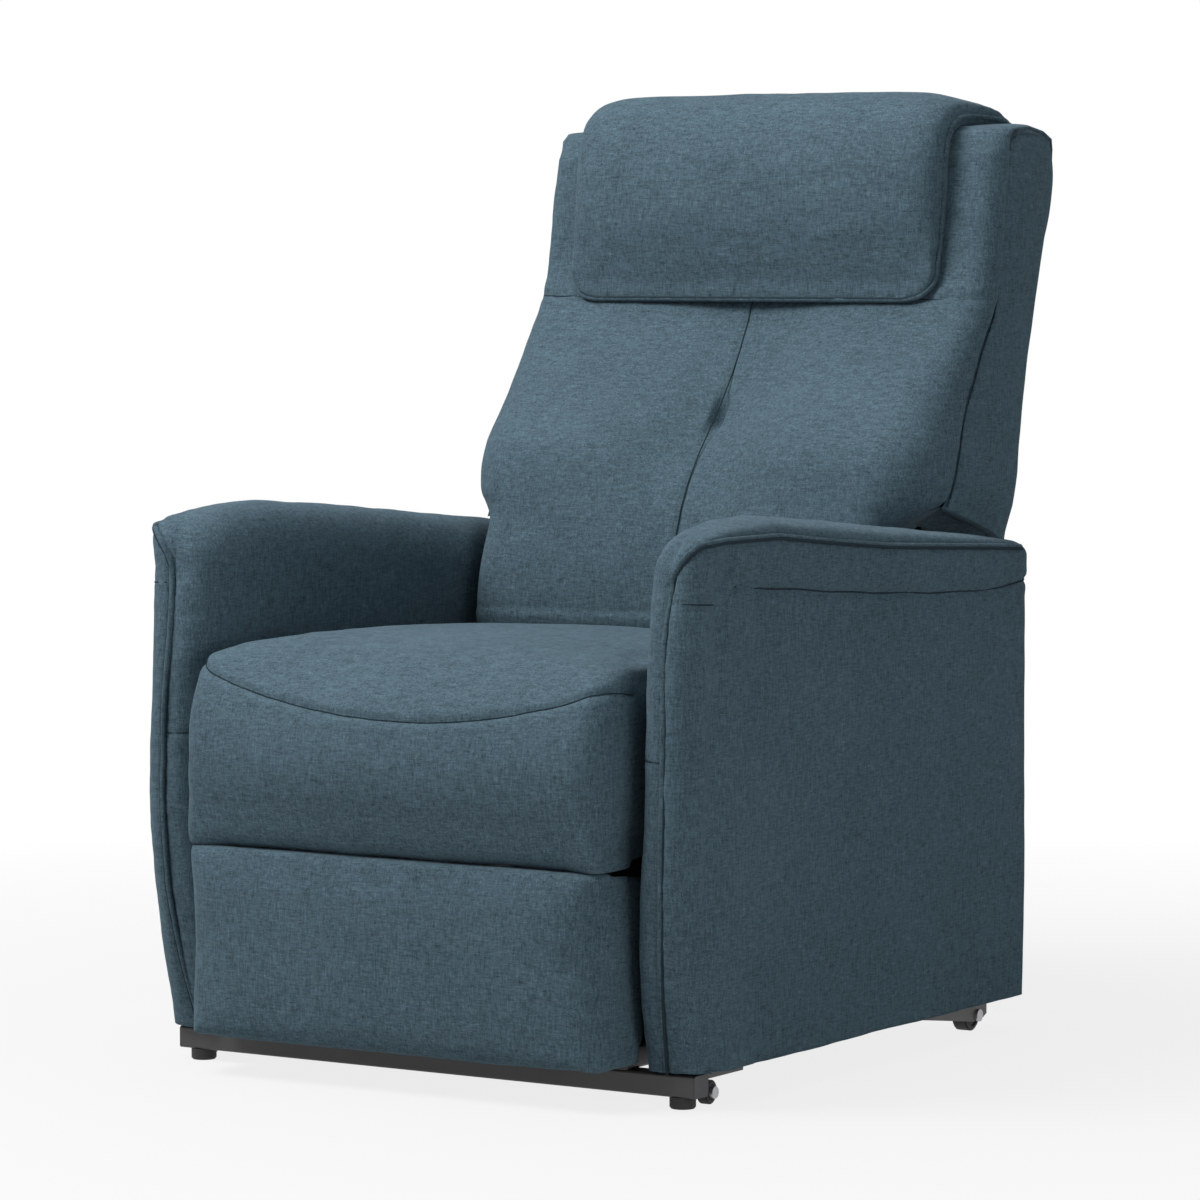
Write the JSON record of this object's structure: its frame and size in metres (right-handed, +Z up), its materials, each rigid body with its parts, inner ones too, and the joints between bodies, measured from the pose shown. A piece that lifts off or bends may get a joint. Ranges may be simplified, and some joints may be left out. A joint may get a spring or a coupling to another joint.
{
  "type": "lift recliner chair",
  "caption": "Powered lift recliner: tilting base linkage, reclining tufted back with headrest pillow, opening footrest, padded arms and a handset in a side pocket.",
  "frame": {"origin": "on the floor, at the middle of the overall width and depth", "axes": "the chair faces -Y, its left arm is on +X, +Z up"},
  "size_m": [0.722, 0.99, 1.0846],
  "materials": {
    "steel": "satin dark grey powder coat",
    "zinc": "zinc-plated, dull",
    "rubber": "matte black",
    "plastic": "fine-grained dark grey",
    "button": "light grey, smooth",
    "board": "raw plywood",
    "upholstery": "woven, petrol blue, heathered"
  },
  "bodies": {
    "base": {"base_front_rail": "steel", "base_rear_rail": "steel", "base_side_rail_left": "steel", "base_side_rail_right": "steel", "rail_end_caps": "plastic", "front_foot_left": "rubber", "front_foot_right": "rubber", "wheel_bracket_left": "steel", "wheel_bracket_right": "steel", "roller_brackets": "steel", "wheel_axles": "zinc", "lift_bracket_left": "steel", "lift_bracket_right": "steel", "base_pins": "zinc"},
    "rear_wheel_left": {"rear_wheel_left": "rubber"},
    "rear_wheel_right": {"rear_wheel_right": "rubber"},
    "front_roller_left": {"front_roller_left": "rubber"},
    "front_roller_right": {"front_roller_right": "rubber"},
    "lift_arms": {"lower_arm_left": "steel", "lower_arm_right": "steel", "lift_cross_tube": "steel"},
    "upper_arms": {"upper_arm_left": "steel", "upper_arm_right": "steel"},
    "lift_motor": {"lift_motor": "plastic"},
    "lift_rod": {"lift_rod": "zinc"},
    "chair": {"carriage_plate_left": "steel", "carriage_plate_right": "steel", "seat_rail_left": "steel", "seat_rail_right": "steel", "seat_crossbars": "steel", "seat_deck": "board", "arm_brackets": "steel", "chair_pins": "zinc", "seat_cushion": "upholstery", "arm_side_left": "upholstery", "arm_side_right": "upholstery", "arm_pad_left": "upholstery", "arm_pad_right": "upholstery", "control_box": "plastic", "handset_pocket": "upholstery", "handset": "plastic"},
    "handset_button_1": {"handset_button_1": "button"},
    "handset_button_2": {"handset_button_2": "button"},
    "handset_button_3": {"handset_button_3": "button"},
    "handset_button_4": {"handset_button_4": "button"},
    "back": {"back_uprights": "steel", "back_boards": "board", "recline_lever": "steel", "back_side_left": "upholstery", "back_side_right": "upholstery", "back_rear_panel": "upholstery", "back_cushion": "upholstery"},
    "headrest": {"headrest_pillow": "upholstery"},
    "recline_motor": {"recline_motor": "plastic"},
    "recline_rod": {"recline_rod": "zinc"},
    "footrest_front_links": {"footrest_front_links": "steel"},
    "footrest_rear_links": {"footrest_rear_links": "steel"},
    "footrest_carrier": {"footrest_carrier": "steel"},
    "footrest": {"footrest_board": "board", "footrest_pad": "upholstery"}
  },
  "joints": [
    {"name": "rear_wheel_left_spin", "type": "hinge", "parent": "base", "child": "rear_wheel_left", "pos_m": [0.301, 0.265, 0.0185], "axis": [1, 0, 0], "continuous": true},
    {"name": "rear_wheel_right_spin", "type": "hinge", "parent": "base", "child": "rear_wheel_right", "pos_m": [-0.301, 0.265, 0.0185], "axis": [1, 0, 0], "continuous": true},
    {"name": "front_roller_left_spin", "type": "hinge", "parent": "base", "child": "front_roller_left", "pos_m": [0.325, -0.3485, 0.0145], "axis": [1, 0, 0], "continuous": true},
    {"name": "front_roller_right_spin", "type": "hinge", "parent": "base", "child": "front_roller_right", "pos_m": [-0.325, -0.3485, 0.0145], "axis": [1, 0, 0], "continuous": true},
    {"name": "lift", "type": "hinge", "parent": "base", "child": "lift_arms", "pos_m": [0, -0.342, 0.071], "axis": [1, 0, 0], "range_deg": [0, 56]},
    {"name": "chair_tilt", "type": "hinge", "parent": "lift_arms", "child": "chair", "pos_m": [0, 0.033, 0.054], "axis": [1, 0, 0], "range_deg": [-29, 0]},
    {"name": "upper_arm_swing", "type": "hinge", "parent": "base", "child": "upper_arms", "pos_m": [0, -0.314, 0.082], "axis": [1, 0, 0], "range_deg": [0, 52]},
    {"name": "lift_motor_swing", "type": "hinge", "parent": "base", "child": "lift_motor", "pos_m": [0, 0.2, 0.062], "axis": [1, 0, 0], "range_deg": [0, 4.7]},
    {"name": "lift_rod_slide", "type": "slide", "parent": "lift_motor", "child": "lift_rod", "axis": [0, -0.9878, 0.156], "range_m": [0, 0.0595]},
    {"name": "back_recline", "type": "hinge", "parent": "chair", "child": "back", "pos_m": [0, 0.175, 0.27], "axis": [-1, 0, 0], "range_deg": [0, 40]},
    {"name": "headrest_slide", "type": "slide", "parent": "back", "child": "headrest", "axis": [0, 0.083, 0.9965], "range_m": [0, 0.06]},
    {"name": "recline_motor_swing", "type": "hinge", "parent": "chair", "child": "recline_motor", "pos_m": [-0.11, -0.23, 0.195], "axis": [-1, 0, 0], "range_deg": [0, 2.1]},
    {"name": "recline_rod_slide", "type": "slide", "parent": "recline_motor", "child": "recline_rod", "axis": [0, -0.9992, -0.0396], "range_m": [0, 0.0458]},
    {"name": "footrest_swing", "type": "hinge", "parent": "chair", "child": "footrest_front_links", "pos_m": [0, -0.372, 0.24], "axis": [-1, 0, 0], "range_deg": [0, 64.5]},
    {"name": "footrest_rear_link_swing", "type": "hinge", "parent": "chair", "child": "footrest_rear_links", "pos_m": [0, -0.312, 0.24], "axis": [-1, 0, 0], "range_deg": [0, 64.5]},
    {"name": "footrest_carrier_level", "type": "hinge", "parent": "footrest_front_links", "child": "footrest_carrier", "pos_m": [0, -0.3692, 0.1], "axis": [-1, 0, 0], "range_deg": [-64.5, 0]},
    {"name": "footrest_pad_tilt", "type": "hinge", "parent": "footrest_carrier", "child": "footrest", "pos_m": [0, -0.425, 0.215], "axis": [-1, 0, 0], "range_deg": [0, 80]},
    {"name": "handset_button_1_press", "type": "slide", "parent": "chair", "child": "handset_button_1", "axis": [1, 0, 0], "range_m": [0, 0.0012], "stiffness_N_per_m": 800},
    {"name": "handset_button_2_press", "type": "slide", "parent": "chair", "child": "handset_button_2", "axis": [1, 0, 0], "range_m": [0, 0.0012], "stiffness_N_per_m": 800},
    {"name": "handset_button_3_press", "type": "slide", "parent": "chair", "child": "handset_button_3", "axis": [1, 0, 0], "range_m": [0, 0.0012], "stiffness_N_per_m": 800},
    {"name": "handset_button_4_press", "type": "slide", "parent": "chair", "child": "handset_button_4", "axis": [1, 0, 0], "range_m": [0, 0.0012], "stiffness_N_per_m": 800}
  ],
  "couplings": [
    {"joint": "chair_tilt", "follows": "lift", "ratio": -0.51669},
    {"joint": "upper_arm_swing", "follows": "lift", "ratio": 0.92783},
    {"joint": "lift_motor_swing", "follows": "lift", "ratio": 0.083},
    {"joint": "lift_rod_slide", "follows": "lift", "m_per_rad": 0.060827},
    {"joint": "recline_motor_swing", "follows": "back_recline", "ratio": 0.050594},
    {"joint": "recline_rod_slide", "follows": "back_recline", "m_per_rad": 0.065534},
    {"joint": "footrest_rear_link_swing", "follows": "footrest_swing", "ratio": 1},
    {"joint": "footrest_carrier_level", "follows": "footrest_swing", "ratio": -1},
    {"joint": "footrest_pad_tilt", "follows": "footrest_swing", "ratio": 1.2403}
  ]
}
